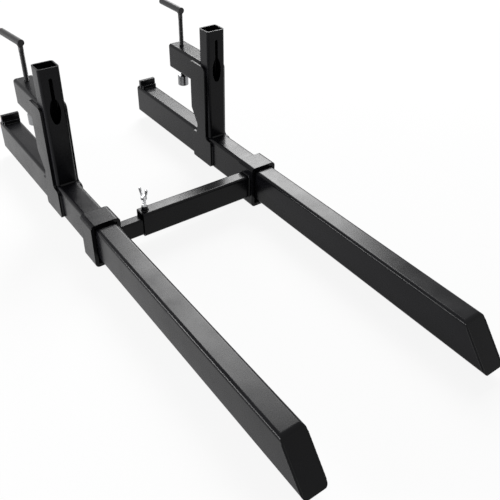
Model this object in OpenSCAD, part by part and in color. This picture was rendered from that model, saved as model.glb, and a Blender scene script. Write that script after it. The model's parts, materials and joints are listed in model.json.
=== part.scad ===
// Clamp-on pallet forks: a pair of box-section tines with screw clamps for a loader bucket,
// joined by a telescoping stabiliser bar. X runs across, Y along the tines with the tips
// towards -Y, Z up. The origin is below the middle of the pair, at the lowest point.
// "Depth" below means a distance forward from the tine's rear end.

/* [Tine] */
// Width of the tine's box section
tine_w = 60; // [50:1:80]
// Height of the tine's box section
tine_h = 100; // [90:1:120]
// Length of the tine along its underside
tine_l = 1600; // [1300:10:1800]
// Wall of the box section
tine_wall = 3; // [2.5:0.5:6]
// Outer corner radius of the box section
tine_r = 9; // [7:0.5:12]
// How far the sloping tip face runs, from the top bend to the toe
tip_run = 80; // [50:1:120]
// Radius of the bend where the top wall turns down over the tip
tip_bend_r = 16; // [8:1:30]
// Thickness of the plate that closes the rear end
cap_t = 4; // [3:0.5:8]
// How far the closing plate sits in from the rear end
cap_inset = 1; // [0:0.5:4]

/* [Rear lip] */
// Height of the lip above the tine
lip_h = 29; // [20:1:50]
// Thickness of the upstanding part
lip_t = 13; // [5:0.5:15]
// Height of the lip's toe
lip_toe_h = 12; // [6:1:16]
// How far the toe reaches forward of the upstanding part
lip_toe = 12; // [3:0.5:15]
// How far the toe's ends stay inside the lip's ends
lip_toe_in = 3; // [0:0.5:8]
// Depth of the lip's back face
lip_depth = 17; // [2:1:60]

/* [Side plates] */
// Thickness of each side plate
plate_t = 8; // [5:0.5:12]
// How far the leg's front edge stays behind the upright's front face
plate_front_set = 14; // [8:0.5:20]
// Width of the leg, front to back
leg_w = 80; // [70:1:110]
// Height of the leg's top edge above the tine's underside
plate_top = 335; // [300:1:337]
// Height of the plate's lower edge above the tine's underside
plate_foot = 4; // [0:0.5:20]
// How far the lug's rear edge is forward of the leg's rear edge
lug_rear_set = 4; // [0:1:20]
// How far the lug reaches forward of the leg
lug_front_set = 28; // [24:1:60]
// Height of the S-curve's middle above the tine's underside
lug_curve_z = 92; // [60:1:95]
// Radius of each half of the S-curve
lug_curve_r = 11; // [6:0.5:12]
// Height of the lug's top edge at the rear
lug_top = 97; // [85:1:99]
// Depth of the relief notch into the leg
notch_in = 33; // [15:1:40]
// How far the notch steps back below its deepest point
notch_ledge = 9; // [4:0.5:14]
// Height of the notch's deepest point
notch_z = 128; // [112:1:150]
// Height where the notch leaves the leg's rear edge
notch_top = 178; // [155:1:220]
// Corner radius at the leg's top front
leg_top_r = 14; // [4:0.5:24]
// Small corner radius of the plates
plate_r = 4; // [1:0.5:8]

/* [Upright] */
// Section of the upright, front to back
post_d = 50; // [46:1:70]
// Top of the upright above the tine's underside
post_top = 448; // [410:1:520]
// Wall of the upright
post_wall = 4; // [3:0.5:6]
// Outer corner radius of the upright
post_r = 8; // [6:0.5:12]
// Depth of the upright's front face
post_front = 498; // [450:1:600]
// Width of the keyhole's slot
key_slot_w = 10; // [6:0.5:16]
// Width of the keyhole's oval
key_oval_w = 30; // [20:0.5:36]
// Height of the keyhole's oval, end to end
key_oval_h = 74; // [50:1:90]
// Radius of the oval's ends
key_end_r = 9; // [6:0.5:9.5]
// Length of the slot above the oval
key_slot_l = 58; // [20:1:70]
// Top of the slot below the top of the upright
key_drop = 28; // [15:1:60]

/* [Clamp arm] */
// Height of the arm's box section
arm_h = 80; // [70:1:90]
// Wall of the arm
arm_wall = 4; // [3:0.5:6]
// Outer corner radius of the arm
arm_r = 8; // [6:0.5:12]
// Length of the arm behind the upright
arm_l = 186; // [150:1:190]
// How far the arm's top stands above the side plates
arm_rise = 7; // [3:1:20]

/* [Clamp screw] */
// Diameter of the screw
screw_d = 14; // [12.5:0.5:16]
// Distance of the screw's axis from the arm's rear end
screw_in = 30; // [24:1:60]
// Height of the crank's grip bar above the arm, at its middle
crank_rise = 112; // [105:1:130]
// Diameter of the grip bar
grip_d = 20; // [18:0.5:24]
// Reach of the grip bar from the screw's axis to its outer end
grip_reach = 118; // [80:1:135]
// How far the grip bar passes the screw's axis
grip_pass = 9; // [8:0.5:14]
// Bevel at the grip bar's outer end
grip_bevel = 3; // [1:0.5:6]
// Bevel at the grip bar's end over the screw
grip_bevel_in = 1; // [0.5:0.5:3]
// Turn of the left crank about its screw
crank_turn_left = 6; // [0:1:45]
// Diameter of the threaded bush inside the arm
bush_d = 30; // [26:1:40]
// Radial running clearance of the screw in its bush
screw_clear = 0.05; // [0.02:0.01:0.1]
// Radial clearance of the screw in the arm's walls
arm_hole_clear = 1; // [0.5:0.5:3]

/* [Swivel foot] */
// Diameter of the foot
foot_d = 34; // [30:1:42]
// Height of the foot
foot_h = 34; // [30:1:45]
// Drop of the foot's top below the arm
foot_drop = 22; // [21:1:40]
// Depth of the socket for the screw's end
foot_socket = 14; // [8:1:18]
// Diameter of the screw's neck
neck_d = 10; // [8:0.5:12]
// Radial running clearance of the neck
neck_clear = 0.08; // [0.03:0.01:0.1]
// Radial clearance of the screw's end in the socket
socket_clear = 0.5; // [0.3:0.1:1]
// Endwise clearance of the swivel
end_play = 0.3; // [0.1:0.1:0.6]
// Diameter of the recess under the foot
recess_d = 24; // [21:0.5:28]
// Depth of the recess under the foot
recess_h = 7; // [6:0.5:10]
// Diameter of the retaining washer
washer_d = 20; // [16:0.5:21]
// Thickness of the retaining washer
washer_t = 2.5; // [1.5:0.5:4]
// Diameter of the neck's riveted head
rivet_d = 14; // [12.5:0.5:16]
// Height of the riveted head
rivet_h = 2; // [1:0.5:3]

/* [Sleeves] */
// Distance between the tines' centres
fork_gap = 512; // [480:1:600]
// Depth of the sleeves' rear ends
sleeve_depth = 677; // [640:1:900]
// Length of each sleeve along the tine
sleeve_l = 68; // [60:1:120]
// Wall of the sleeves
sleeve_wall = 10; // [4:0.5:10]
// Outer height of the sleeves
sleeve_h = 134; // [126:1:150]
// Clearance between sleeve and tine at each side
sleeve_side = 2; // [1:0.5:10]
// Clearance above the tine, where the sleeve hangs on it
sleeve_top_clear = 0.3; // [0.2:0.1:1]
// Outer corner radius of the sleeves
sleeve_r = 12; // [10.5:0.5:14]

/* [Stabiliser bar] */
// Height of the outer tube
bar_h = 74; // [70:1:90]
// Width of the outer tube, front to back
bar_d = 42; // [40:1:56]
// Wall of the outer tube
bar_wall = 3.5; // [2.5:0.5:4]
// Outer corner radius of the outer tube
bar_r = 7; // [6:0.5:10]
// Underside of the outer tube above the tine's underside
bar_z = 5; // [-10:1:15]
// Left end of the outer tube from the middle of the pair
bar_left = 140; // [100:1:170]
// Height of the inner tube
inner_h = 52; // [40:1:60]
// Width of the inner tube
inner_d = 32; // [28:0.5:34]
// Wall of the inner tube
inner_wall = 3; // [2:0.5:4]
// Outer corner radius of the inner tube
inner_r = 6; // [4:0.5:8]
// Clearance under the inner tube, where it lies in the outer tube
inner_clear = 0.3; // [0.2:0.1:1]
// Length of inner tube inside the outer tube
inner_engaged = 280; // [180:1:284]

/* [Lock nut and wing screw] */
// Distance of the wing screw from the outer tube's left end
wing_in = 15; // [12:1:40]
// Width across the nut's flats
nut_af = 17; // [15:0.5:20]
// Height of the nut
nut_h = 13; // [6:0.5:16]
// Diameter of the wing screw
wing_d = 10; // [8:0.5:10]
// Radial running clearance of the wing screw in its nut
wing_clear = 0.05; // [0.02:0.01:0.1]
// Radial clearance of the wing screw in the tube's wall
wing_hole_clear = 0.5; // [0.3:0.1:1]
// Gap between the wing screw's end and the inner tube
wing_gap = 0.3; // [0.2:0.1:1]
// Height of the wings' hub above the nut
wing_stand = 23; // [12:1:40]
// Diameter of the wings' hub
hub_d = 18; // [14:0.5:22]
// Height of the wings' hub
hub_h = 12; // [8:0.5:16]
// Span of the wings, tip to tip
wing_span = 36; // [32:1:60]
// Height of the wings above the hub's foot
wing_h = 36; // [24:1:44]
// Width of each wing
wing_w = 13; // [8:0.5:14]
// Thickness of the wings
wing_t = 4; // [2.5:0.5:5]
// Turn of the wings from the bar's length
wing_turn = 110; // [0:5:175]

/* [Hidden] */
paint = "#2b2b2d";
zinc = "#c9ccd0";
steel = "#8f9296";

LEFT = -1;
RIGHT = 1;

// The sleeves hang on the tines, so the tines' underside stands this far above the origin
tine_z = sleeve_h - sleeve_wall - sleeve_top_clear - tine_h;
rear_y = tine_l / 2;
tip_slope = atan2(tine_h, tip_run);

// Upright and side plates
post_rear = post_front - post_d;
leg_front = post_front - plate_front_set;
leg_rear = leg_front - leg_w;
lug_rear = leg_rear + lug_rear_set;
lug_front = leg_front + lug_front_set;
notch_depth = leg_rear + notch_in;
notch_step = notch_depth - notch_ledge;
key_top = post_top - key_drop;
key_oval_top = key_top - key_slot_l;
key_oval_low = key_oval_top - key_oval_h;

// Arm, screw and foot, as heights above the tine's underside
arm_top = plate_top + arm_rise;
arm_low = arm_top - arm_h;
arm_rear = post_rear - arm_l;
screw_depth = arm_rear + screw_in;
grip_z = arm_top + crank_rise;
foot_top = arm_low - foot_drop;
foot_low = foot_top - foot_h;
socket_floor = foot_top - foot_socket;
recess_roof = foot_low + recess_h;
screw_end = socket_floor + end_play;
washer_top = recess_roof - end_play;
rivet_top = washer_top - washer_t;

// Sleeves and bar
sleeve_w = tine_w + 2 * (sleeve_side + sleeve_wall);
bar_depth = sleeve_depth + sleeve_l / 2;
bar_right = fork_gap / 2 - sleeve_w / 2;
inner_z = bar_z + bar_wall + inner_clear;
inner_right = inner_engaged - bar_left;
wing_x = wing_in - bar_left;
nut_z = bar_z + bar_h;
hub_z = nut_z + nut_h + wing_stand;
wing_end = inner_z + inner_h + wing_gap;

// A rectangle centred on the origin with round corners
module round_rect(w, h, r) {
    union() {
        square([w - 2 * r, h], center = true);
        square([w, h - 2 * r], center = true);
        for (sx = [-1, 1], sy = [-1, 1])
            translate([sx * (w / 2 - r), sy * (h / 2 - r)]) circle(r, $fn = 48);
    }
}

// A box section with round corners, inside and out
module box_section(w, h, wall, r) {
    difference() {
        round_rect(w, h, r);
        round_rect(w - 2 * wall, h - 2 * wall, r - wall);
    }
}

// Lays a section drawn in X and Z along the tine, from one depth to another
module along_tine(from, to) {
    translate([0, -from, 0]) rotate([90, 0, 0]) linear_extrude(to - from) children();
}

// Cuts a side view, drawn with depth to the right and height up, across a width in X
module side_view(width) {
    rotate([90, 0, -90]) translate([0, 0, -width / 2]) linear_extrude(width) children();
}

// Puts a piece where its fork stands
module on_fork(side) {
    translate([side * fork_gap / 2, rear_y, tine_z]) children();
}

// Points of an arc about a centre, from one angle to another
function arc(c, r, a0, a1, n = 8) =
    [for (i = [0:n]) c + r * [cos(a0 + (a1 - a0) * i / n), sin(a0 + (a1 - a0) * i / n)]];

// Side view of the tine, moved in by a wall at its sloping end and under its top bend
module tine_side(inset) {
    slope_shift = inset / sin(tip_slope);
    bend = tip_bend_r - inset;
    top = tine_h - inset;
    tangent = bend * tan(tip_slope / 2);
    knee = tine_l - tip_run - slope_shift + inset / tan(tip_slope);
    polygon(concat(
        [[-1, inset], [tine_l - slope_shift - inset / tan(tip_slope), inset]],
        arc([knee - tangent, top - bend], bend, 90 - tip_slope, 90),
        [[-1, top]]));
}

// Box-section tine with its top wall bent down over the sloping tip
module tine() {
    difference() {
        intersection() {
            translate([0, 0, tine_h / 2])
                along_tine(0, tine_l) round_rect(tine_w, tine_h, tine_r);
            side_view(tine_w) tine_side(0);
        }
        intersection() {
            translate([0, 0, tine_h / 2]) along_tine(-1, tine_l)
                round_rect(tine_w - 2 * tine_wall, tine_h - 2 * tine_wall, tine_r - tine_wall);
            side_view(tine_w) tine_side(tine_wall);
        }
    }
}

// Plate welded into the tine's rear end
module rear_cap() {
    translate([0, 0, tine_h / 2]) along_tine(cap_inset, cap_inset + cap_t)
        round_rect(tine_w - 2 * tine_wall, tine_h - 2 * tine_wall, tine_r - tine_wall);
}

// Stepped lip across the tine's rear, which hooks behind the bucket's edge
module rear_lip() {
    lip_w = tine_w - 2;
    front = lip_depth + lip_t;
    translate([0, 0, tine_h]) union() {
        side_view(lip_w) lip_step(lip_depth, front, lip_h);
        side_view(lip_w - 2 * lip_toe_in) lip_step(lip_depth, front + lip_toe, lip_toe_h);
    }
}

// Side view of one step of the lip, with its upper edges rounded
module lip_step(from, to, h) {
    nose = 1.5;
    polygon(concat([[from, 0], [to, 0]],
        arc([to - nose, h - nose], nose, 0, 90), arc([from + nose, h - nose], nose, 90, 180)));
}

// Outline of a side plate: lug beside the tine, S-curve, leg and relief notch
module plate_outline() {
    r = plate_r;
    s = lug_curve_r;
    polygon(concat(
        arc([lug_rear + r, plate_foot + r], r, 180, 270),
        arc([lug_front - r, plate_foot + r], r, 270, 360),
        arc([lug_front - s, lug_curve_z - s], s, 0, 90),
        arc([leg_front + s, lug_curve_z + s], s, 270, 180),
        arc([leg_front - leg_top_r, plate_top - leg_top_r], leg_top_r, 0, 90),
        arc([leg_rear + r, plate_top - r], r, 90, 180),
        [[leg_rear, notch_top], [notch_depth, notch_z], [notch_step, lug_top]],
        arc([lug_rear + r, lug_top - r], r, 90, 180)));
}

// One side plate; side is which face of the fork it lies on
module side_plate(side) {
    translate([side * (tine_w + plate_t) / 2, 0, 0]) side_view(plate_t) plate_outline();
}

// Open-topped upright with the chain keyhole in its front wall
module upright() {
    difference() {
        translate([0, -(post_rear + post_front) / 2, tine_h])
            linear_extrude(post_top - tine_h) box_section(tine_w, post_d, post_wall, post_r);
        translate([0, -post_front + post_wall + 1, 0]) rotate([90, 0, 0])
            linear_extrude(post_wall + 2) keyhole();
    }
}

// Keyhole: a narrow slot that opens into a tall oval below
module keyhole() {
    slot_r = key_slot_w / 2;
    half_w = key_oval_w / 2;
    half_h = key_oval_h / 2;
    rise = half_h - key_end_r;
    side_r = (half_w * half_w + rise * rise - key_end_r * key_end_r) / (2 * (half_w - key_end_r));
    join = rise + key_end_r * sin(atan2(rise, side_r - half_w));
    union() {
        translate([-slot_r, key_oval_top - half_w])
            square([key_slot_w, key_slot_l + half_w - slot_r]);
        translate([0, key_top - slot_r]) circle(slot_r, $fn = 32);
        translate([0, key_oval_low + half_h]) {
            intersection() {
                translate([side_r - half_w, 0]) circle(side_r, $fn = 180);
                translate([half_w - side_r, 0]) circle(side_r, $fn = 180);
                square([key_oval_w + 2, 2 * join], center = true);
            }
            for (way = [-1, 1]) translate([0, way * rise]) circle(key_end_r, $fn = 48);
        }
    }
}

// Arm between the side plates, with holes for the screw above and below
module clamp_arm() {
    difference() {
        translate([0, 0, (arm_low + arm_top) / 2])
            along_tine(arm_rear, post_rear) box_section(tine_w, arm_h, arm_wall, arm_r);
        translate([0, -screw_depth, arm_low - 1])
            cylinder(h = arm_h + 2, r = screw_d / 2 + arm_hole_clear, $fn = 48);
    }
}

// Threaded bush that fills the arm's height round the screw
module thread_bush() {
    bush_h = arm_h - 2 * arm_wall;
    translate([0, -screw_depth, arm_low + arm_wall]) difference() {
        cylinder(h = bush_h, d = bush_d, $fn = 64);
        translate([0, 0, -1]) cylinder(h = bush_h + 2, r = screw_d / 2 + screw_clear, $fn = 64);
    }
}

// Round bar that is welded across the screw's top as its crank
module grip_bar() {
    from = -grip_pass;
    to = grip_reach;
    translate([0, from, grip_z]) rotate([-90, 0, 0]) rotate_extrude($fn = 64) polygon([
        [0, 0], [grip_d / 2 - grip_bevel_in, 0], [grip_d / 2, grip_bevel_in],
        [grip_d / 2, to - from - grip_bevel], [grip_d / 2 - grip_bevel, to - from],
        [0, to - from]]);
}

// Grip bar over the screw, turned with it
module crank_grip(turn) {
    translate([0, -screw_depth, 0]) rotate([0, 0, turn]) grip_bar();
}

// Screw that ends under the grip bar, with a riveted neck below
module clamp_screw(turn) {
    translate([0, -screw_depth, 0]) rotate([0, 0, turn]) union() {
        difference() {
            translate([0, 0, screw_end]) cylinder(h = grip_z - screw_end, d = screw_d, $fn = 64);
            grip_bar();
        }
        translate([0, 0, rivet_top - rivet_h])
            cylinder(h = screw_end - rivet_top + rivet_h, d = neck_d, $fn = 48);
        translate([0, 0, rivet_top - rivet_h]) cylinder(h = rivet_h, d = rivet_d, $fn = 48);
    }
}

// Washer that keeps the foot on the neck
module foot_washer() {
    translate([0, -screw_depth, rivet_top]) difference() {
        cylinder(h = washer_t, d = washer_d, $fn = 48);
        translate([0, 0, -1])
            cylinder(h = washer_t + 2, r = neck_d / 2 + neck_clear, $fn = 48);
    }
}

// Turned foot: socket above for the screw's end, recess below for the washer
module clamp_foot() {
    edge = 2;
    bore_r = neck_d / 2 + neck_clear;
    socket_r = screw_d / 2 + socket_clear;
    outer = foot_d / 2;
    translate([0, -screw_depth, 0]) rotate_extrude($fn = 64) polygon([
        [bore_r, recess_roof], [recess_d / 2, recess_roof], [recess_d / 2, foot_low],
        [outer - edge / 2, foot_low], [outer, foot_low + edge / 2], [outer, foot_top - edge],
        [outer - edge, foot_top], [socket_r, foot_top], [socket_r, socket_floor],
        [bore_r, socket_floor]]);
}

// Collar that slides along a tine and hangs on its top
module hung_sleeve() {
    translate([0, 0, sleeve_h / 2 - tine_z]) along_tine(sleeve_depth, sleeve_depth + sleeve_l)
        box_section(sleeve_w, sleeve_h, sleeve_wall, sleeve_r);
}

// Lays a section drawn in Y and Z along the bar, from one X to another
module along_bar(from, to) {
    translate([from, rear_y - bar_depth, tine_z])
        rotate([90, 0, 90]) linear_extrude(to - from) children();
}

// Outer tube of the bar, welded to the right sleeve
module bar_outer() {
    difference() {
        along_bar(-bar_left, bar_right) translate([0, bar_z + bar_h / 2])
            box_section(bar_d, bar_h, bar_wall, bar_r);
        on_bar_axis() translate([0, 0, nut_z - bar_wall - 1])
            cylinder(h = bar_wall + 2, r = wing_d / 2 + wing_hole_clear, $fn = 48);
    }
}

// Inner tube of the bar, welded to the left sleeve
module bar_inner() {
    along_bar(-bar_right, inner_right) translate([0, inner_z + inner_h / 2])
        box_section(inner_d, inner_h, inner_wall, inner_r);
}

// Puts a piece on the wing screw's axis
module on_bar_axis() {
    translate([wing_x, rear_y - bar_depth, tine_z]) children();
}

// Hexagon nut welded over the hole in the outer tube, with its corners turned off
module lock_nut() {
    corner_d = nut_af / cos(30);
    chamfer = 1.2;
    on_bar_axis() translate([0, 0, nut_z]) difference() {
        intersection() {
            cylinder(h = nut_h, d = corner_d, $fn = 6);
            rotate_extrude($fn = 64) polygon([
                [0, 0], [corner_d / 2, 0], [corner_d / 2, nut_h - chamfer],
                [nut_af / 2 - chamfer / 2, nut_h], [0, nut_h]]);
        }
        translate([0, 0, -1]) cylinder(h = nut_h + 2, r = wing_d / 2 + wing_clear, $fn = 48);
    }
}

// Wing screw: shank, hub and two wings
module wing_screw() {
    on_bar_axis() union() {
        translate([0, 0, wing_end]) cylinder(h = hub_z - wing_end, d = wing_d, $fn = 48);
        translate([0, 0, hub_z])
            cylinder(h = hub_h, d1 = hub_d, d2 = hub_d - hub_h / 3, $fn = 48);
        translate([0, 0, hub_z]) rotate([0, 0, wing_turn]) rotate([90, 0, 0])
            translate([0, 0, -wing_t / 2]) linear_extrude(wing_t) wing_outline();
    }
}

// Side view of the wings: two rounded ears that rise outwards from the hub
module wing_outline() {
    root_w = hub_d - hub_h / 3;
    tip_r = wing_w / 2;
    union() {
        translate([-root_w / 2, 1]) square([root_w, hub_h * 0.7]);
        for (s = [-1, 1]) {
            translate([s * (wing_span / 2 - tip_r), wing_h - tip_r]) circle(tip_r, $fn = 32);
            polygon([
                [0, 1], [s * root_w / 2, 1],
                [s * wing_span / 2, wing_h - tip_r],
                [s * (wing_span / 2 - 2 * tip_r), wing_h - tip_r],
                [0, hub_h * 0.7 + 1]]);
        }
    }
}

color(paint) on_fork(LEFT) tine();  // tine_left
color(paint) on_fork(RIGHT) tine();  // tine_right
color(paint) on_fork(LEFT) rear_cap();  // rear_cap_left
color(paint) on_fork(RIGHT) rear_cap();  // rear_cap_right
color(paint) on_fork(LEFT) rear_lip();  // rear_lip_left
color(paint) on_fork(RIGHT) rear_lip();  // rear_lip_right
color(paint) on_fork(LEFT) side_plate(LEFT);  // side_plate_outer_left
color(paint) on_fork(RIGHT) side_plate(RIGHT);  // side_plate_outer_right
color(paint) on_fork(LEFT) side_plate(RIGHT);  // side_plate_inner_left
color(paint) on_fork(RIGHT) side_plate(LEFT);  // side_plate_inner_right
color(paint) on_fork(LEFT) upright();  // upright_left
color(paint) on_fork(RIGHT) upright();  // upright_right
color(paint) on_fork(LEFT) clamp_arm();  // clamp_arm_left
color(paint) on_fork(RIGHT) clamp_arm();  // clamp_arm_right
color(steel) on_fork(LEFT) thread_bush();  // thread_bush_left
color(steel) on_fork(RIGHT) thread_bush();  // thread_bush_right
color(paint) on_fork(LEFT) clamp_screw(crank_turn_left);  // clamp_screw_left
color(paint) on_fork(RIGHT) clamp_screw(0);  // clamp_screw_right
color(paint) on_fork(LEFT) crank_grip(crank_turn_left);  // crank_grip_left
color(paint) on_fork(RIGHT) crank_grip(0);  // crank_grip_right
color(zinc) on_fork(LEFT) foot_washer();  // foot_washer_left
color(zinc) on_fork(RIGHT) foot_washer();  // foot_washer_right
color(zinc) on_fork(LEFT) clamp_foot();  // clamp_foot_left
color(zinc) on_fork(RIGHT) clamp_foot();  // clamp_foot_right
color(paint) on_fork(LEFT) hung_sleeve();  // sleeve_left
color(paint) on_fork(RIGHT) hung_sleeve();  // sleeve_right
color(paint) bar_outer();
color(paint) bar_inner();
color(paint) lock_nut();
color(zinc) wing_screw();
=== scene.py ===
"""Dresses the packed clamp-on pallet forks: paint, plating, cut threads, weld beads and a pale studio.

Units are metres. X runs across the pair, Y along the tines with the tips towards -Y, Z up.
"""

import json
import math

import bpy
from bpy.props import FloatProperty, FloatVectorProperty, PointerProperty, StringProperty
from mathutils import Matrix, Vector


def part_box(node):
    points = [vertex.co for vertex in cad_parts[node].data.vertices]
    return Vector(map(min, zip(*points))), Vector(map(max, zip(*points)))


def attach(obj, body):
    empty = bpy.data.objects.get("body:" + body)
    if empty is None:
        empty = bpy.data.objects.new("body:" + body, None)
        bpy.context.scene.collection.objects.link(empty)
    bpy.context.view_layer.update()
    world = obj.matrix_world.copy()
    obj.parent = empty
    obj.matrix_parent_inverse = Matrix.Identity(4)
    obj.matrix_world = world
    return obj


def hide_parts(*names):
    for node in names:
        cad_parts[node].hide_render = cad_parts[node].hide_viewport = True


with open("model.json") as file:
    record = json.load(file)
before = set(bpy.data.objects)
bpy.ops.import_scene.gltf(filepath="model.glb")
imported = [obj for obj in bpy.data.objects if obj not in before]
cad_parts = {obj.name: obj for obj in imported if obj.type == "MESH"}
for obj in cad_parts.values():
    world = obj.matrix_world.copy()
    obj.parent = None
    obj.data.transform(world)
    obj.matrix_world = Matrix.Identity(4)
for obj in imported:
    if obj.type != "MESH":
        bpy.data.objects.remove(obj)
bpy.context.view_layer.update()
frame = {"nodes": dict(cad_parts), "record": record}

bl_info = {
    "name": "Clamp-on pallet forks",
    "version": (1, 0, 0),
    "blender": (4, 5, 0),
    "location": "3D View > Sidebar > Forks",
    "description": "Finishes, threads, welds and studio for a pair of clamp-on pallet forks",
    "category": "Object",
}

MM = 0.001
SIDES = ("left", "right")

# The second colour of each finish, where it is dusty, worn or dull
PAINT_DUST = "#16161a"
SCREW_WORN = "#222224"
ZINC_DULL = "#727375"
STEEL_DULL = "#74777b"
CAST_DULL = "#bcbdbf"

# A powder coat is nearer 1.5; the lower value brings the upright sides nearer to the photograph
PAINT_IOR = 1.22

# Straight beads stop short of a section's rounded corners
TINE_BEAD = 21 * MM
ARM_BEAD = 22 * MM
LIP_BEAD_SHARE = 0.7
BAR_BEAD_SHARE = 0.7
PLATE_BEAD_SHARE = 0.8
NUT_BEAD_SHARE = 0.6

# Length along the tine that the tip's slope takes
TIP_RUN = 80 * MM

PICTURE_PIXELS = 500
SENSOR_WIDTH = 36
FLOOR_HALF = 40.0
# The floor lies just under the forks, so that no faces share a plane
FLOOR_DROP = 0.4 * MM
# From this far out to this far out the floor passes into the white surround
FLOOR_FADE = (3.0, 9.0)
# Share of the surround's white that fills the shadows
FILL = 0.16
# Each lamp: name, place, point it faces, width, height, watts
LAMPS = (
    ("main_softbox", (3.7, 4.95, 5.2), (0, 0, 0.1), 3.5, 4.1, 790),
    ("edge_strip", (-2.4, 0.95, 0.5), (0, -0.3, 0.1), 1.6, 0.2, 60),
)


# Sizes and colours


class FinishSettings(bpy.types.PropertyGroup):
    """Colours and surface grain of the paint, plating and bare steel."""

    paint_colour: StringProperty(
        name="Powder coat", description="sRGB colour of the black powder coat", default="#0e0e11"
    )
    screw_colour: StringProperty(
        name="Screw black", description="sRGB colour of the blackened screws", default="#141415"
    )
    zinc_colour: StringProperty(
        name="Zinc", description="sRGB colour of the zinc plate on turned steel", default="#9a9b9d"
    )
    cast_colour: StringProperty(
        name="Cast zinc", description="sRGB colour of the wing screw's bright casting", default="#d6d7d8"
    )
    steel_colour: StringProperty(
        name="Bush steel", description="sRGB colour of the plain turned bushes", default="#8d9094"
    )
    peel: FloatProperty(
        name="Orange peel", description="Spacing of the powder coat's orange peel",
        default=2.5 * MM, unit="LENGTH", precision=4,
    )
    edge_round: FloatProperty(
        name="Edge rounding", description="How far the coating rounds a sharp edge",
        default=1.2 * MM, unit="LENGTH", precision=4,
    )
    paint_roughness: FloatProperty(
        name="Paint roughness", description="Middle roughness of the powder coat",
        default=0.24, min=0.05, max=1.0, subtype="FACTOR",
    )


class ScrewSettings(bpy.types.PropertyGroup):
    """Sizes of the clamp screws that their solids state as plain rods."""

    lead: FloatProperty(
        name="Lead", description="Rise of the clamp screw's thread for each turn",
        default=4 * MM, unit="LENGTH", precision=4,
    )
    depth: FloatProperty(
        name="Thread depth", description="Depth of the clamp screw's thread",
        default=2.2 * MM, unit="LENGTH", precision=4,
    )
    neck_radius: FloatProperty(
        name="Neck radius", description="Radius of the neck that carries the foot",
        default=5 * MM, unit="LENGTH", precision=4,
    )
    rivet_height: FloatProperty(
        name="Riveted height", description="Height of the neck's riveted head",
        default=2 * MM, unit="LENGTH", precision=4,
    )
    shoulder: FloatProperty(
        name="Shoulder", description="Depth of the screw's shoulder below the foot's top",
        default=13.7 * MM, unit="LENGTH", precision=4,
    )
    plain: FloatProperty(
        name="Plain length", description="Unthreaded length below the grip bar",
        default=14 * MM, unit="LENGTH", precision=4,
    )


class WeldSettings(bpy.types.PropertyGroup):
    """Sizes of the weld beads."""

    leg: FloatProperty(
        name="Leg", description="Leg of the fillet beads", default=4.5 * MM, unit="LENGTH", precision=4
    )
    ripple: FloatProperty(
        name="Ripple", description="Spacing of the ripples along a bead",
        default=3.2 * MM, unit="LENGTH", precision=4,
    )
    seam: FloatProperty(
        name="Seam radius", description="Radius of the seam beads along the tips' slanting edges",
        default=3.2 * MM, unit="LENGTH", precision=4,
    )


class WingSettings(bpy.types.PropertyGroup):
    """Sizes of the cast wing screw."""

    pitch: FloatProperty(
        name="Pitch", description="Pitch of the wing screw's thread",
        default=1.5 * MM, unit="LENGTH", precision=4,
    )
    turn: FloatProperty(
        name="Turn", description="Turn of the wings from the bar's length",
        default=math.radians(110), subtype="ANGLE",
    )
    stand: FloatProperty(
        name="Stand", description="Height of the wings' hub above the nut",
        default=23 * MM, unit="LENGTH", precision=4,
    )
    hub_radius: FloatProperty(
        name="Hub radius", description="Radius of the hub at its foot",
        default=9 * MM, unit="LENGTH", precision=4,
    )
    hub_height: FloatProperty(
        name="Hub height", description="Height of the hub", default=12 * MM, unit="LENGTH", precision=4
    )
    spread: FloatProperty(
        name="Spread", description="Distance of an ear's middle from the screw's axis",
        default=12.2 * MM, unit="LENGTH", precision=4,
    )
    ear: FloatProperty(
        name="Ear radius", description="Radius of an ear's rounded end",
        default=5.4 * MM, unit="LENGTH", precision=4,
    )


class StageSettings(bpy.types.PropertyGroup):
    """Floor, lamps and camera."""

    floor_colour: StringProperty(
        name="Floor", description="sRGB colour of the studio floor", default="#f6f6f6"
    )
    lift: FloatProperty(
        name="Lift", description="How far the picture sees the floor lifted to white",
        default=0.9, min=0, max=1, subtype="FACTOR",
    )
    target: FloatVectorProperty(
        name="Target", description="Point the camera turns about", default=(0.31645, 0.20245, -0.13291),
        subtype="XYZ",
    )
    azimuth: FloatProperty(
        name="Azimuth", description="Camera direction round the object",
        default=math.radians(-36.18), subtype="ANGLE",
    )
    elevation: FloatProperty(
        name="Elevation", description="Camera height above the horizon",
        default=math.radians(34.32), subtype="ANGLE",
    )
    roll: FloatProperty(
        name="Roll", description="Camera roll", default=math.radians(0.87), subtype="ANGLE"
    )
    distance: FloatProperty(
        name="Distance", description="Camera distance from its target",
        default=2.23812, unit="LENGTH",
    )
    focal_pixels: FloatProperty(
        name="Focal length", description="Focal length in pixels of a 500 pixel frame", default=659.37
    )
    shift: FloatProperty(name="Shift", description="Vertical lens shift", default=-0.08)


GROUPS = (
    ("fork_finish", FinishSettings),
    ("fork_screw", ScrewSettings),
    ("fork_weld", WeldSettings),
    ("fork_wing", WingSettings),
    ("fork_stage", StageSettings),
)


# Colours and nodes


def linear(hex_colour):
    """Turns an sRGB hex value to the linear colour that sockets take."""
    parts = [int(hex_colour[i:i + 2], 16) / 255 for i in (1, 3, 5)]
    return tuple([p / 12.92 if p <= 0.04045 else ((p + 0.055) / 1.055) ** 2.4 for p in parts] + [1.0])


def add_node(tree, kind, values=None, links=None, **settings):
    """Adds a node with its settings, socket values and incoming links."""
    node = tree.nodes.new(kind)
    for name, value in settings.items():
        setattr(node, name, value)
    for name, value in (values or {}).items():
        node.inputs[name].default_value = value
    for name, source in (links or {}).items():
        tree.links.new(source, node.inputs[name])
    return node


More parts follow.
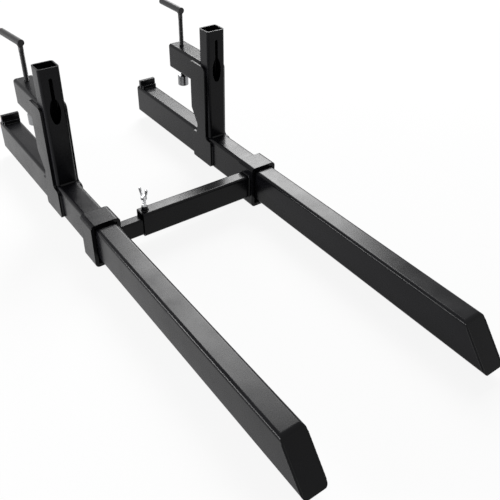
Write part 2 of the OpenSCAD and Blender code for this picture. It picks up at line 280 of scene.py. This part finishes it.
def new_material(name):
    """Gives a material's tree, its shader and the coordinates of the object it lies on."""
    material = bpy.data.materials.new(name)
    material.use_nodes = True
    tree = material.node_tree
    tree.nodes.clear()
    shader = add_node(tree, "ShaderNodeBsdfPrincipled")
    add_node(tree, "ShaderNodeOutputMaterial", links={"Surface": shader.outputs["BSDF"]})
    place = add_node(tree, "ShaderNodeTexCoord").outputs["Object"]
    return material, tree, shader, place


def powder_coat(finish):
    """Polyester powder coat baked on steel: a deep satin black that flows round edges and dries to a fine peel."""
    material, tree, shader, place = new_material("powder_coated_steel_black")
    shader.inputs["IOR"].default_value = PAINT_IOR
    # Broad, faint clouds of handling dust, about 90 mm across
    cloud = add_node(
        tree, "ShaderNodeTexNoise", {"Scale": 1 / (90 * MM), "Detail": 3.0, "Roughness": 0.6}, {"Vector": place}
    )
    dust = add_node(
        tree, "ShaderNodeMapRange", {"From Min": 0.45, "From Max": 0.8, "To Min": 0.0, "To Max": 0.35},
        {"Value": cloud.outputs["Fac"]},
    )
    colour = add_node(
        tree, "ShaderNodeMix", {"A": linear(finish.paint_colour), "B": linear(PAINT_DUST)},
        {"Factor": dust.outputs["Result"]}, data_type="RGBA",
    )
    tree.links.new(colour.outputs["Result"], shader.inputs["Base Color"])
    rough = add_node(
        tree, "ShaderNodeMapRange",
        {"From Min": 0.3, "From Max": 0.75, "To Min": finish.paint_roughness - 0.05,
         "To Max": finish.paint_roughness + 0.09},
        {"Value": cloud.outputs["Fac"]},
    )
    tree.links.new(rough.outputs["Result"], shader.inputs["Roughness"])
    # The peel is drawn at its real spacing, and over it the rolled wall's slight waves, 45 mm apart
    peel = add_node(tree, "ShaderNodeTexNoise", {"Scale": 1 / finish.peel, "Detail": 1.5}, {"Vector": place})
    wave = add_node(tree, "ShaderNodeTexNoise", {"Scale": 1 / (45 * MM), "Detail": 0.5}, {"Vector": place})
    edge = add_node(tree, "ShaderNodeBevel", {"Radius": finish.edge_round}, samples=6)
    coarse = add_node(
        tree, "ShaderNodeBump", {"Strength": 0.25, "Distance": 0.5 * MM},
        {"Height": wave.outputs["Fac"], "Normal": edge.outputs["Normal"]},
    )
    fine = add_node(
        tree, "ShaderNodeBump", {"Strength": 0.05, "Distance": 0.1 * MM},
        {"Height": peel.outputs["Fac"], "Normal": coarse.outputs["Normal"]},
    )
    tree.links.new(fine.outputs["Normal"], shader.inputs["Normal"])
    return material


def blackened_steel(finish):
    """Round steel bar, rolled, threaded and blackened: darker than the paint and slightly metallic on its crests."""
    material, tree, shader, place = new_material("blackened_steel_bar")
    shader.inputs["Metallic"].default_value = 0.35
    # Mottle of the black finish, about 6 mm
    mottle = add_node(
        tree, "ShaderNodeTexNoise", {"Scale": 1 / (6 * MM), "Detail": 4.0, "Roughness": 0.65}, {"Vector": place}
    )
    colour = add_node(
        tree, "ShaderNodeMix", {"A": linear(finish.screw_colour), "B": linear(SCREW_WORN)},
        {"Factor": mottle.outputs["Fac"]}, data_type="RGBA",
    )
    tree.links.new(colour.outputs["Result"], shader.inputs["Base Color"])
    rough = add_node(
        tree, "ShaderNodeMapRange", {"To Min": 0.3, "To Max": 0.52}, {"Value": mottle.outputs["Fac"]}
    )
    tree.links.new(rough.outputs["Result"], shader.inputs["Roughness"])
    grain = add_node(
        tree, "ShaderNodeBump", {"Strength": 0.3, "Distance": 0.1 * MM}, {"Height": mottle.outputs["Fac"]}
    )
    tree.links.new(grain.outputs["Normal"], shader.inputs["Normal"])
    return material


def turned_metal(name, colour, dull, low, high, ring):
    """Lathe-turned metal: fine rings round its axis, brighter and duller by turns where the plate took."""
    material, tree, shader, place = new_material(name)
    shader.inputs["Metallic"].default_value = 1.0
    spangle = add_node(
        tree, "ShaderNodeTexNoise", {"Scale": 1 / (5 * MM), "Detail": 3.0, "Roughness": 0.55}, {"Vector": place}
    )
    mixed = add_node(
        tree, "ShaderNodeMix", {"A": linear(colour), "B": linear(dull)},
        {"Factor": spangle.outputs["Fac"]}, data_type="RGBA",
    )
    tree.links.new(mixed.outputs["Result"], shader.inputs["Base Color"])
    rough = add_node(
        tree, "ShaderNodeMapRange", {"From Min": 0.3, "From Max": 0.7, "To Min": low, "To Max": high},
        {"Value": spangle.outputs["Fac"]},
    )
    tree.links.new(rough.outputs["Result"], shader.inputs["Roughness"])
    # Turning marks, drawn coarser than the real 0.2 mm feed so that they show
    rings = add_node(
        tree, "ShaderNodeTexWave", {"Scale": 0.32 / ring, "Distortion": 0.4, "Detail": 1.0},
        {"Vector": place}, bands_direction="Z",
    )
    edge = add_node(tree, "ShaderNodeBevel", {"Radius": 0.5 * MM}, samples=4)
    marks = add_node(
        tree, "ShaderNodeBump", {"Strength": 0.25, "Distance": 0.06 * MM},
        {"Height": rings.outputs["Fac"], "Normal": edge.outputs["Normal"]},
    )
    tree.links.new(marks.outputs["Normal"], shader.inputs["Normal"])
    return material


def cast_zinc(finish):
    """Die-cast zinc with a bright plate: soft edges and a faint pebbling left by the mould."""
    material, tree, shader, place = new_material("plated_zinc_casting")
    shader.inputs["Metallic"].default_value = 1.0
    pebble = add_node(
        tree, "ShaderNodeTexNoise", {"Scale": 1 / (1.2 * MM), "Detail": 3.0}, {"Vector": place}
    )
    colour = add_node(
        tree, "ShaderNodeMix", {"A": linear(finish.cast_colour), "B": linear(CAST_DULL)},
        {"Factor": pebble.outputs["Fac"]}, data_type="RGBA",
    )
    tree.links.new(colour.outputs["Result"], shader.inputs["Base Color"])
    rough = add_node(
        tree, "ShaderNodeMapRange", {"To Min": 0.22, "To Max": 0.42}, {"Value": pebble.outputs["Fac"]}
    )
    tree.links.new(rough.outputs["Result"], shader.inputs["Roughness"])
    skin = add_node(
        tree, "ShaderNodeBump", {"Strength": 0.3, "Distance": 0.1 * MM}, {"Height": pebble.outputs["Fac"]}
    )
    tree.links.new(skin.outputs["Normal"], shader.inputs["Normal"])
    return material


def finish_named(name):
    """Finds a finish that the finishes operator has made."""
    material = bpy.data.materials.get(name)
    if material is None:
        raise RuntimeError(f"the finish {name} isn't made yet")
    return material


# Meshes


def centre(node):
    """Middle of a node's box."""
    low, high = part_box(node)
    return (low + high) / 2


def make_piece(name, points, faces, finish, body, smooth=True):
    """Makes a mesh piece, gives it its finish and lets it ride on a body."""
    mesh = bpy.data.meshes.new(name)
    mesh.from_pydata(points, [], faces)
    mesh.validate()
    mesh.update()
    for face in mesh.polygons:
        face.use_smooth = smooth
    mesh.materials.append(finish_named(finish))
    piece = bpy.data.objects.new(name, mesh)
    bpy.context.scene.collection.objects.link(piece)
    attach(piece, body)
    return piece


def skin_rings(rings, points, faces, closed=False, caps=True):
    """Joins rings of equal length with quads, and closes the ends with fans."""
    start = len(points)
    count = len(rings[0])
    for ring in rings:
        points.extend(ring)
    last = len(rings) if closed else len(rings) - 1
    for i in range(last):
        a = start + i * count
        b = start + ((i + 1) % len(rings)) * count
        for j in range(count):
            k = (j + 1) % count
            faces.append((a + j, a + k, b + k, b + j))
    if caps and not closed:
        faces.append(tuple(start + j for j in reversed(range(count))))
        end = start + (len(rings) - 1) * count
        faces.append(tuple(end + j for j in range(count)))


def lathe_rings(profile, place, segments):
    """Rings of a turned shape from (radius, height) pairs; place maps a local point to the frame."""
    rings = []
    for radius, height in profile:
        ring = []
        for j in range(segments):
            a = 2 * math.pi * j / segments
            ring.append(place @ Vector((radius * math.cos(a), radius * math.sin(a), height)))
        rings.append(ring)
    return rings


def thread_radius(phase, outer, depth, crest=0.37, flank=0.13):
    """Radius of a trapezoidal thread at a phase from 0 to 1; crest and flank are shares of the pitch."""
    away = abs(phase - 0.5)
    if away < crest / 2:
        return outer
    if away < crest / 2 + flank:
        return outer - depth * (away - crest / 2) / flank
    return outer - depth


def thread_rings(low, high, outer, depth, pitch, segments, steps, place):
    """Rings of a right-handed thread that runs out at both ends."""
    rings = []
    count = int(round((high - low) / pitch * steps))
    for i in range(count + 1):
        z = low + (high - low) * i / count
        fade = min(1.0, (z - low) / pitch, (high - z) / pitch)
        ring = []
        for j in range(segments):
            a = 2 * math.pi * j / segments
            phase = (z / pitch - j / segments) % 1.0
            r = outer - (outer - thread_radius(phase, outer, depth)) * max(0.0, fade)
            ring.append(place @ Vector((r * math.cos(a), r * math.sin(a), z)))
        rings.append(ring)
    return rings


def wobble(seed):
    """A repeatable small number from -1 to 1."""
    return math.sin(seed * 12.9898) * math.cos(seed * 4.1414 + 1.3)


def bead_rings(path, leg, ripple):
    """Rings of a fillet bead along (point, along face A, along face B) triples, a ripple at a time."""
    rings = []
    length = 0.0
    previous = path[0][0]
    for i, (point, side_a, side_b) in enumerate(path):
        ahead = path[min(i + 1, len(path) - 1)][0] - path[max(i - 1, 0)][0]
        ahead = ahead.normalized() if ahead.length > 0 else Vector((0, 0, 0))
        length += (point - previous).length
        previous = point
        cycle = length / ripple
        swell = 1.0 + 0.10 * (1.0 - cycle % 1.0) + 0.05 * wobble(math.floor(cycle))
        ring = [point - (side_a + side_b) * 0.6 * MM]
        for j in range(7):
            t = math.pi / 2 * j / 6
            lag = -0.45 * ripple * (1 - math.sin(2 * t))
            flat = 1.0 - 0.13 * math.sin(2 * t)
            sink = 0.25 * MM
            ring.append(
                point + side_a * (leg * swell * flat * math.cos(t) - sink)
                + side_b * (leg * swell * flat * math.sin(t) - sink) + ahead * lag
            )
        rings.append(ring)
    return rings


def straight(a, b, side_a, side_b, step):
    """Path of a bead between two points, tapered in by its spacing."""
    a, b = Vector(a), Vector(b)
    count = max(3, int((b - a).length / step))
    return [(a.lerp(b, i / count), Vector(side_a), Vector(side_b)) for i in range(count + 1)]


def round_box_path(middle, half_y, half_z, radius, x, side_b, step):
    """Closed path round a box section that meets a plane square to X."""
    path = []
    corners = ((1, 1, 0), (-1, 1, 90), (-1, -1, 180), (1, -1, 270))
    outline = []
    for sy, sz, start in corners:
        cy = middle.y + sy * (half_y - radius)
        cz = middle.z + sz * (half_z - radius)
        for i in range(9):
            a = math.radians(start + 90 * i / 8)
            outline.append((Vector((x, cy + radius * math.cos(a), cz + radius * math.sin(a))),
                            Vector((0, math.cos(a), math.sin(a)))))
    for i, (p, n) in enumerate(outline):
        q, m = outline[(i + 1) % len(outline)]
        count = max(1, int((q - p).length / step))
        for k in range(count):
            t = k / count
            path.append((p.lerp(q, t), n.lerp(m, t).normalized(), Vector(side_b)))
    path.append(path[0])
    return path


# Operators


class FORK_OT_finishes(bpy.types.Operator):
    """Make the finishes and lay them on the packed solids."""

    bl_idname = "fork.finishes"
    bl_label = "Finishes"

    def execute(self, context):
        finish = context.scene.fork_finish
        powder_coat(finish)
        blackened_steel(finish)
        turned_metal("zinc_plated_turned_steel", finish.zinc_colour, ZINC_DULL, 0.14, 0.3, 1.1 * MM)
        turned_metal("plain_turned_steel", finish.steel_colour, STEEL_DULL, 0.3, 0.5, 1.4 * MM)
        cast_zinc(finish)
        by_slot = {
            "black_paint": "powder_coated_steel_black",
            "black_oxide": "blackened_steel_bar",
            "plain_steel": "plain_turned_steel",
            "zinc_plate": "zinc_plated_turned_steel",
        }
        for part in frame["record"]["subparts"]:
            node = frame["nodes"][part["node"]]
            node.data.materials.clear()
            node.data.materials.append(finish_named(by_slot[part["material_slot"]]))
        return {"FINISHED"}


class FORK_OT_clamp_screws(bpy.types.Operator):
    """Cut the clamp screws' trapezoidal threads and weld them to their grip bars."""

    bl_idname = "fork.clamp_screws"
    bl_label = "Clamp screws"

    def execute(self, context):
        screw = context.scene.fork_screw
        weld = context.scene.fork_weld
        for side in SIDES:
            axis = centre(f"thread_bush_{side}")
            low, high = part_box(f"clamp_screw_{side}")
            bar_low, bar_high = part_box(f"crank_grip_{side}")
            radius = (high.x - low.x) / 2
            bar_radius = (bar_high.z - bar_low.z) / 2
            grip = (bar_high.z + bar_low.z) / 2
            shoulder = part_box(f"clamp_foot_{side}")[1].z - screw.shoulder
            place = Matrix.Translation((axis.x, axis.y, 0))
            head = low.z + screw.rivet_height
            base = [
                (0.4 * MM, low.z), (radius - 0.7 * MM, low.z), (radius, low.z + 0.6 * MM), (radius, head),
                (screw.neck_radius, head), (screw.neck_radius, shoulder),
                (radius - screw.depth, shoulder), (radius - 0.3 * MM, shoulder + 1.6 * MM),
            ]
            top = grip - bar_radius - screw.plain
            rings = lathe_rings(base, place, 40)
            rings += thread_rings(shoulder + 2.2 * MM, top, radius, screw.depth, screw.lead, 40, 12, place)
            rings += lathe_rings([(radius, top + 1 * MM), (radius, grip - 4 * MM)], place, 40)
            points, faces = [], []
            skin_rings(rings, points, faces)
            skin_rings(bead_rings(self.saddle(axis, radius, bar_radius, grip), 3 * MM, weld.ripple), points, faces)
            piece = make_piece(
                f"threaded_screw_{side}", points, faces, "blackened_steel_bar", f"screw_{side}"
            )
            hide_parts(f"clamp_screw_{side}")
        return {"FINISHED"}

    @staticmethod
    def saddle(axis, radius, bar_radius, grip):
        """Path of the bead where the upright screw meets the round bar above it."""
        path = []
        for i in range(73):
            a = 2 * math.pi * i / 72
            out = Vector((math.cos(a), math.sin(a), 0))
            x = radius * math.cos(a)
            drop = math.sqrt(bar_radius ** 2 - x ** 2)
            slope = Vector((math.cos(a), math.sin(a), math.cos(a) * x / drop)).normalized()
            # At the screw's lowest place the bar clears the arm by 2 mm, so the bead stays shallow under the bar
            deep = min(1.0, (bar_radius + 1.3 * MM - drop) / (3.5 * MM))
            path.append((Vector((axis.x, axis.y, grip - drop)) + out * radius, slope, Vector((0, 0, -deep))))
        return path


class FORK_OT_wing_screw(bpy.types.Operator):
    """Model the cast wing screw with its threaded shank."""

    bl_idname = "fork.wing_screw"
    bl_label = "Wing screw"

    def execute(self, context):
        wing = context.scene.fork_wing
        low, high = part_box("wing_screw")
        middle = centre("lock_nut")
        place = Matrix.Translation((middle.x, middle.y, 0)) @ Matrix.Rotation(wing.turn, 4, "Z")
        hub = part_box("lock_nut")[1].z + wing.stand
        top = high.z
        points, faces = [], []
        shank = lathe_rings([(3.6 * MM, low.z), (4.6 * MM, low.z + 0.8 * MM)], place, 32)
        shank += thread_rings(low.z + 1 * MM, hub - 1 * MM, 5 * MM, 0.85 * MM, wing.pitch, 32, 7, place)
        shank += lathe_rings([(4.8 * MM, hub + 1 * MM)], place, 32)
        skin_rings(shank, points, faces)
        r, h = wing.hub_radius, wing.hub_height
        body = [(1 * MM, 0), (r - 1.2 * MM, 0), (r - 0.3 * MM, 0.4 * MM), (r, 1.4 * MM),
                (r - 0.8 * MM, h * 0.45), (r - 1.8 * MM, h * 0.8), (r - 2.6 * MM, h * 0.94),
                (r - 4.2 * MM, h), (1 * MM, h)]
        skin_rings(lathe_rings([(a, hub + b) for a, b in body], place, 40), points, faces)
        for way in (-1, 1):
            skin_rings(self.wing_rings(way, hub, top, wing, place), points, faces)
        piece = make_piece("cast_wing_screw", points, faces, "plated_zinc_casting", "wing")
        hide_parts("wing_screw")
        return {"FINISHED"}

    @staticmethod
    def wing_rings(way, hub, top, wing, place):
        """Rings of one wing: an ellipse that rises out of the hub, waists and ends in a round ear."""
        rise = top - hub
        rings = []
        count = 26
        for i in range(count + 1):
            t = i / count
            # The middle line bends outwards and then up, as a cast ear does
            x = 3 * MM + (wing.spread - 3 * MM) * (1 - (1 - t) ** 1.7)
            z = hub + 5 * MM + (rise - 5 * MM - 0.4 * MM) * t ** 1.12
            waist = 1.0 - 0.22 * math.sin(math.pi * min(1.0, t / 0.75)) ** 2
            width = wing.ear * waist
            thick = (3.2 - 1.1 * t) * MM
            if t > 0.78:
                e = (t - 0.78) / 0.22
                cap = math.sqrt(max(0.0, 1 - e * e))
                width = max(0.4 * MM, wing.ear * cap)
                thick = max(0.3 * MM, thick * cap ** 0.6)
            lean = math.radians(52 - 34 * t)
            ring = []
            for j in range(24):
                a = 2 * math.pi * j / 24
                u = width * math.cos(a)
                v = thick * math.sin(a)
                ring.append(place @ Vector((way * (x + u * math.cos(lean)), v, z - u * math.sin(lean) * 0.55)))
            rings.append(ring if way > 0 else ring[::-1])
        return rings


class FORK_OT_weld_beads(bpy.types.Operator):
    """Lay the weld beads that join plates, arms, uprights, lips, sleeves and bars."""

    bl_idname = "fork.weld_beads"
    bl_label = "Weld beads"

    def execute(self, context):
        weld = context.scene.fork_weld
        step = weld.ripple / 4
        for side in SIDES:
            tine_low, tine_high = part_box(f"tine_{side}")
            post_low, post_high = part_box(f"upright_{side}")
            arm_low, arm_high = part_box(f"clamp_arm_{side}")
            lip_low, lip_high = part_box(f"rear_lip_{side}")
            middle = centre(f"tine_{side}").x
            half = (tine_high.x - tine_low.x) / 2
            runs = []
            for way in (-1, 1):
                place = "inner" if (way > 0) == (side == "left") else "outer"
                plate_low, plate_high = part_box(f"side_plate_{place}_{side}")
                face = middle + way * half
                # Up the lug's front and rear edges on the tine's side, and down the plate's rear edge on the arm's
                for y, bottom, top, fore, share in (
                    (plate_low.y, plate_low.z + 8 * MM, plate_low.z + 76 * MM, -1, 1),
                    (plate_high.y - 4 * MM, plate_low.z + 8 * MM, plate_low.z + 84 * MM, 1, 1),
                    (plate_high.y, arm_low.z + 10 * MM, plate_high.z - 6 * MM, 1, PLATE_BEAD_SHARE),
                ):
                    path = straight((face, y, bottom), (face, y, top), (0, fore, 0), (way, 0, 0), step)
                    runs.append((path, weld.leg * share))
            # Across the upright's foot, the arm's top and underside at the upright, and the lip's foot
            for y, z, fore, rise, reach, share in (
                (post_low.y, tine_high.z, -1, 1, TINE_BEAD, 1),
                (post_high.y, tine_high.z, 1, 1, TINE_BEAD, 1),
                (post_high.y, arm_high.z, 1, 1, ARM_BEAD, 1),
                (post_high.y, arm_low.z, 1, -1, ARM_BEAD, 1),
                (lip_low.y, tine_high.z, -1, 1, TINE_BEAD, LIP_BEAD_SHARE),
                (lip_high.y, tine_high.z, 1, 1, TINE_BEAD, LIP_BEAD_SHARE),
            ):
                path = straight((middle - reach, y, z), (middle + reach, y, z), (0, fore, 0), (0, 0, rise), step)
                runs.append((path, weld.leg * share))
            self.lay(f"fork_welds_{side}", runs, weld, f"fork_{side}")
        self.bar_welds(weld, step)
        return {"FINISHED"}

    def bar_welds(self, weld, step):
        """Beads round the tubes where they meet the sleeves, and round the nut's foot."""
        low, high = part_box("bar_outer")
        middle = centre("bar_outer")
        runs = [(round_box_path(middle, (high.y - low.y) / 2, (high.z - low.z) / 2, 7 * MM, high.x,
                                (-1, 0, 0), step), weld.leg * BAR_BEAD_SHARE)]
        nut_low, nut_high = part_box("lock_nut")
        nut = centre("lock_nut")
        ring = []
        for i in range(61):
            a = 2 * math.pi * i / 60
            out = Vector((math.cos(a), math.sin(a), 0))
            ring.append((Vector((nut.x, nut.y, nut_low.z)) + out * 8.9 * MM, out, Vector((0, 0, 1))))
        runs.append((ring, weld.leg * NUT_BEAD_SHARE))
        self.lay("outer_bar_welds", runs, weld, "outer_bar")
        low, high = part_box("bar_inner")
        middle = centre("bar_inner")
        runs = [(round_box_path(middle, (high.y - low.y) / 2, (high.z - low.z) / 2, 6 * MM, low.x,
                                (1, 0, 0), step), weld.leg * BAR_BEAD_SHARE)]
        self.lay("inner_bar_welds", runs, weld, "inner_bar")

    @staticmethod
    def lay(name, runs, weld, body):
        """Makes one piece of several beads on the same body."""
        points, faces = [], []
        for path, leg in runs:
            skin_rings(bead_rings(path, leg, weld.ripple), points, faces)
        make_piece(name, points, faces, "powder_coated_steel_black", body)


class FORK_OT_tip_seams(bpy.types.Operator):
    """Lay the seam beads along the slanting edges of the tips, where the bent top wall meets the sides."""

    bl_idname = "fork.tip_seams"
    bl_label = "Tip seams"

    def execute(self, context):
        weld = context.scene.fork_weld
        for side in SIDES:
            low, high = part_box(f"tine_{side}")
            down = Vector((0, -TIP_RUN, low.z - high.z))
            along = down.normalized()
            up = Vector((0, along.z, -along.y))
            points, faces = [], []
            for way in (-1, 1):
                start = Vector((low.x if way < 0 else high.x, low.y + TIP_RUN, high.z))
                out = Vector((way, 0, 0))
                inward = -(out + up).normalized() * weld.seam * 0.75
                rings = []
                count = 150
                for i in range(count + 1):
                    t = 0.09 + 0.84 * i / count
                    cycle = t * down.length / weld.ripple
                    r = weld.seam * (0.93 + 0.09 * (1 - cycle % 1.0) + 0.05 * wobble(math.floor(cycle) + way))
                    r *= min(1.0, 0.5 + 8 * i / count, 0.5 + 8 * (count - i) / count)
                    middle = start + down * t + inward
                    rings.append([
                        middle + (out * math.cos(a) + up * math.sin(a)) * r
                        for a in (2 * math.pi * j / 16 for j in range(16))
                    ])
                skin_rings(rings, points, faces)
            make_piece(
                f"tip_seams_{side}", points, faces, "powder_coated_steel_black", f"fork_{side}"
            )
        return {"FINISHED"}


class FORK_OT_studio(bpy.types.Operator):
    """Set the floor, the lamps and the camera."""

    bl_idname = "fork.studio"
    bl_label = "Studio"

    def execute(self, context):
        stage = context.scene.fork_stage
        context.scene.view_settings.view_transform = "Standard"
        self.floor(stage)
        self.surround()
        for lamp in LAMPS:
            self.lamp(*lamp)
        self.camera(stage)
        return {"FINISHED"}

    @staticmethod
    def floor(stage):
        """White floor that keeps a faint shadow and is white to the camera."""
        corners = [(x * FLOOR_HALF, y * FLOOR_HALF, 0) for x, y in ((-1, -1), (1, -1), (1, 1), (-1, 1))]
        mesh = bpy.data.meshes.new("studio_floor")
        mesh.from_pydata(corners, [], [(0, 1, 2, 3)])
        floor = bpy.data.objects.new("studio_floor", mesh)
        floor.location.z = -FLOOR_DROP
        bpy.context.scene.collection.objects.link(floor)
        material = bpy.data.materials.new("white_studio_paper")
        material.use_nodes = True
        tree = material.node_tree
        tree.nodes.clear()
        # The paper is pale under the lamps, and the picture sees it lifted towards white, with its shadow kept
        paper = add_node(tree, "ShaderNodeBsdfDiffuse", {"Color": linear(stage.floor_colour)})
        white = add_node(tree, "ShaderNodeEmission", {"Color": (1, 1, 1, 1), "Strength": 1.0})
        rays = add_node(tree, "ShaderNodeLightPath")
        seen = rays.outputs["Is Camera Ray"]
        for kind in ("Is Glossy Ray", "Is Transmission Ray"):
            both = add_node(tree, "ShaderNodeMath", links={0: seen, 1: rays.outputs[kind]}, operation="MAXIMUM")
            seen = both.outputs[0]
        # Far from the forks the paper passes into the white surround with no edge
        place = add_node(tree, "ShaderNodeNewGeometry")
        reach = add_node(tree, "ShaderNodeVectorMath", links={0: place.outputs["Position"]}, operation="LENGTH")
        far = add_node(
            tree, "ShaderNodeMapRange",
            {"From Min": FLOOR_FADE[0], "From Max": FLOOR_FADE[1], "To Min": stage.lift, "To Max": 1.0},
            {"Value": reach.outputs["Value"]},
        )
        lift = add_node(tree, "ShaderNodeMath", links={0: seen, 1: far.outputs["Result"]}, operation="MULTIPLY")
        mix = add_node(
            tree, "ShaderNodeMixShader", links={0: lift.outputs[0], 1: paper.outputs[0], 2: white.outputs[0]}
        )
        add_node(tree, "ShaderNodeOutputMaterial", links={"Surface": mix.outputs[0]})
        mesh.materials.append(material)

    @staticmethod
    def surround():
        """White surround for the camera and for reflections, and a plainer one for the fill light."""
        world = bpy.context.scene.world or bpy.data.worlds.new("studio")
        bpy.context.scene.world = world
        world.use_nodes = True
        tree = world.node_tree
        tree.nodes.clear()
        rays = add_node(tree, "ShaderNodeLightPath")
        strength = add_node(
            tree, "ShaderNodeMapRange", {"To Min": 1.0, "To Max": FILL},
            {"Value": rays.outputs["Is Diffuse Ray"]},
        )
        sky = add_node(
            tree, "ShaderNodeBackground", {"Color": (1, 1, 1, 1)}, {"Strength": strength.outputs["Result"]}
        )
        add_node(tree, "ShaderNodeOutputWorld", links={"Surface": sky.outputs[0]})

    @staticmethod
    def lamp(name, at, toward, width, height, watts):
        """A soft rectangular lamp aimed at a point."""
        light = bpy.data.lights.new(name, "AREA")
        light.shape = "RECTANGLE"
        light.size = width
        light.size_y = height
        light.energy = watts
        lamp = bpy.data.objects.new(name, light)
        lamp.location = at
        lamp.rotation_euler = (Vector(toward) - Vector(at)).to_track_quat("-Z", "Y").to_euler()
        bpy.context.scene.collection.objects.link(lamp)

    @staticmethod
    def camera(stage):
        """Camera at the photograph's viewing angle, from azimuth, elevation and distance."""
        a, e, roll = stage.azimuth, stage.elevation, stage.roll
        back = Vector((math.sin(a) * math.cos(e), -math.cos(a) * math.cos(e), math.sin(e)))
        across = Vector((math.cos(a), math.sin(a), 0))
        upward = back.cross(across)
        right = across * math.cos(roll) + upward * math.sin(roll)
        top = upward * math.cos(roll) - across * math.sin(roll)
        data = bpy.data.cameras.new("photo_camera")
        data.sensor_width = SENSOR_WIDTH
        data.lens = stage.focal_pixels / PICTURE_PIXELS * SENSOR_WIDTH
        data.shift_y = stage.shift
        data.clip_end = 150
        camera = bpy.data.objects.new("photo_camera", data)
        spot = Vector(stage.target) + back * stage.distance
        camera.matrix_world = Matrix.Translation(spot) @ Matrix((right, top, back)).transposed().to_4x4()
        bpy.context.scene.collection.objects.link(camera)
        bpy.context.scene.camera = camera


# Panel and registration

OPERATORS = (
    FORK_OT_finishes,
    FORK_OT_clamp_screws,
    FORK_OT_wing_screw,
    FORK_OT_weld_beads,
    FORK_OT_tip_seams,
    FORK_OT_studio,
)


class FORK_PT_sidebar(bpy.types.Panel):
    """Lists the pieces' operators and their settings."""

    bl_label = "Pallet forks"
    bl_idname = "FORK_PT_sidebar"
    bl_space_type = "VIEW_3D"
    bl_region_type = "UI"
    bl_category = "Forks"

    def draw(self, context):
        for operator in OPERATORS:
            self.layout.operator(operator.bl_idname, text=operator.bl_label)
        for name, group in GROUPS:
            box = self.layout.box()
            box.label(text=group.__doc__)
            for value in group.__annotations__:
                box.prop(getattr(context.scene, name), value)


def register():
    """Registers the classes and hangs the settings on the scene."""
    for name, group in GROUPS:
        bpy.utils.register_class(group)
        setattr(bpy.types.Scene, name, PointerProperty(type=group))
    for operator in OPERATORS:
        bpy.utils.register_class(operator)
    bpy.utils.register_class(FORK_PT_sidebar)


def unregister():
    """Takes the classes and settings away again."""
    bpy.utils.unregister_class(FORK_PT_sidebar)
    for operator in reversed(OPERATORS):
        bpy.utils.unregister_class(operator)
    for name, group in reversed(GROUPS):
        delattr(bpy.types.Scene, name)
        bpy.utils.unregister_class(group)


def main():
    register()
    bpy.ops.fork.finishes()
    bpy.ops.fork.clamp_screws()
    bpy.ops.fork.wing_screw()
    bpy.ops.fork.weld_beads()
    bpy.ops.fork.tip_seams()
    bpy.ops.fork.studio()


if __name__ == "__main__":
    main()
